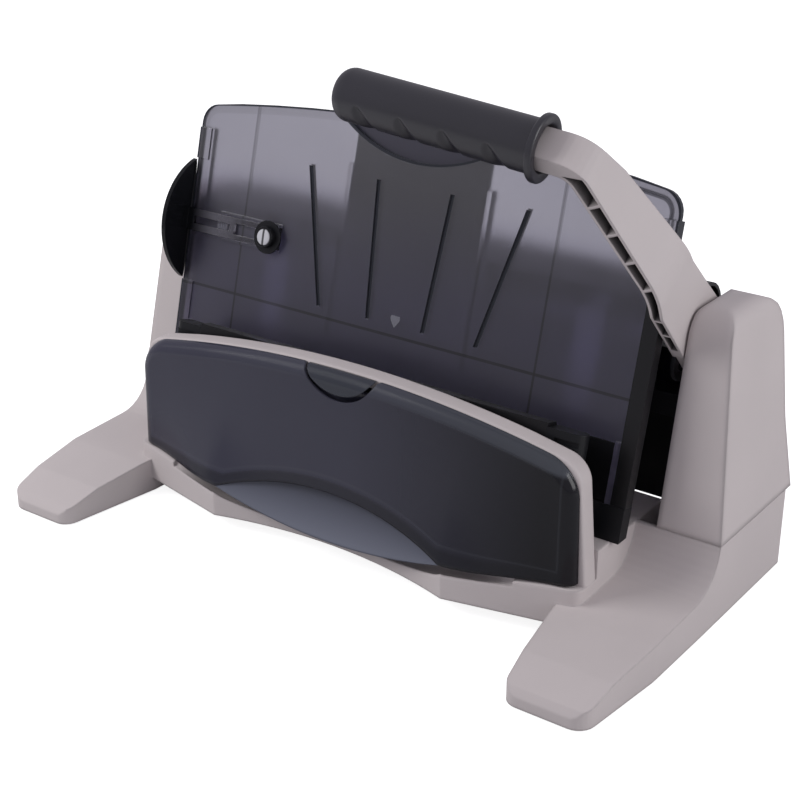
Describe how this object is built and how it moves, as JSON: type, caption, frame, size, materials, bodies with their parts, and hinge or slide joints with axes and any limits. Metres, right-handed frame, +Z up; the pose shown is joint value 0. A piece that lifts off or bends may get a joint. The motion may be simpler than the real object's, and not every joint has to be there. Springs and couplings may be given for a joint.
{
  "type": "hole_punch",
  "caption": "Heavy duty lever hole punch: grey moulded frame, leaning smoke backrest, hinged chip door, side guide and a cam driven ram.",
  "frame": {"origin": "middle of the bounding box's underside, on the surface it stands on", "axes": "+X to the lever's side across the width, +Y to the rear, +Z up"},
  "size_m": [0.417, 0.218, 0.2851],
  "materials": {
    "putty_plastic": "fine matt moulded texture, warm light grey",
    "smoke_plastic": "smoke tinted, slightly frosted",
    "black_plastic": "matt black moulding",
    "white_plastic": "white moulding",
    "black_steel": "black oxide or paint",
    "putty_paint": "light grey paint",
    "steel": "ground steel",
    "brass": "turned bearing bronze",
    "grip_rubber": "soft dark grey grip",
    "rubber": "black rubber"
  },
  "bodies": {
    "frame": {"base": "putty_plastic", "right_tower_cover": "putty_plastic", "left_tower_cover": "putty_plastic", "front_housing": "putty_plastic", "right_side_frame": "steel", "left_side_frame": "steel", "shaft_bushes": "brass", "die_bar": "black_steel", "die_bushes": "brass", "die_end_caps": "black_plastic", "punch_guide": "black_steel", "paper_stop": "steel", "throat_brackets": "black_plastic", "guide_rods": "steel", "backrest_panel": "smoke_plastic", "rear_cover": "black_steel", "tie_beam": "putty_paint", "cover_screws": "steel", "rubber_feet": "rubber", "door_hinge_pins": "steel", "return_springs": "steel"},
    "lever": {"lever_shaft": "steel", "shaft_clips": "steel", "right_cam": "steel", "left_cam": "steel", "lever_hub": "black_plastic", "lever_arm": "putty_plastic", "grip_core": "steel", "lever_grip": "grip_rubber"},
    "ram_set": {"ram": "steel", "cam_followers": "steel", "punch_pins": "steel"},
    "door": {"front_door": "smoke_plastic", "chip_pan": "black_plastic"},
    "latch": {"door_latch": "smoke_plastic"},
    "support": {"paper_support": "smoke_plastic"},
    "guide": {"side_guide": "black_plastic"},
    "knob": {"lock_knob": "white_plastic", "knob_washer": "black_plastic"}
  },
  "joints": [
    {"name": "lever_pull", "type": "hinge", "parent": "frame", "child": "lever", "pos_m": [0, 0.069, 0.138], "axis": [1, 0, 0], "range_deg": [0, 60], "stiffness_Nm_per_rad": 0.8, "springref_deg": -45.84},
    {"name": "ram_slide", "type": "slide", "parent": "frame", "child": "ram_set", "axis": [0, -0.9668, 0.2554], "range_m": [0, 0.0155], "deforming": ["return_springs"]},
    {"name": "door_swing", "type": "hinge", "parent": "frame", "child": "door", "pos_m": [0, -0.048, 0.03], "axis": [1, 0, 0], "range_deg": [0, 75]},
    {"name": "latch_press", "type": "slide", "parent": "door", "child": "latch", "axis": [0, 0, -1], "range_m": [0, 0.003], "stiffness_N_per_m": 400, "springref_m": -0.001},
    {"name": "support_slide", "type": "slide", "parent": "frame", "child": "support", "axis": [0, 0.2554, 0.9668], "range_m": [0, 0.06]},
    {"name": "guide_slide", "type": "slide", "parent": "frame", "child": "guide", "axis": [1, 0, 0], "range_m": [0, 0.024]},
    {"name": "knob_turn", "type": "hinge", "parent": "frame", "child": "knob", "pos_m": [-0.098, 0.02159, 0.15943], "axis": [0, 0.9668, -0.2554], "range_deg": [0, 90]}
  ],
  "couplings": [
    {"joint": "ram_slide", "follows": "lever_pull", "m_per_rad": 0.014801}
  ]
}
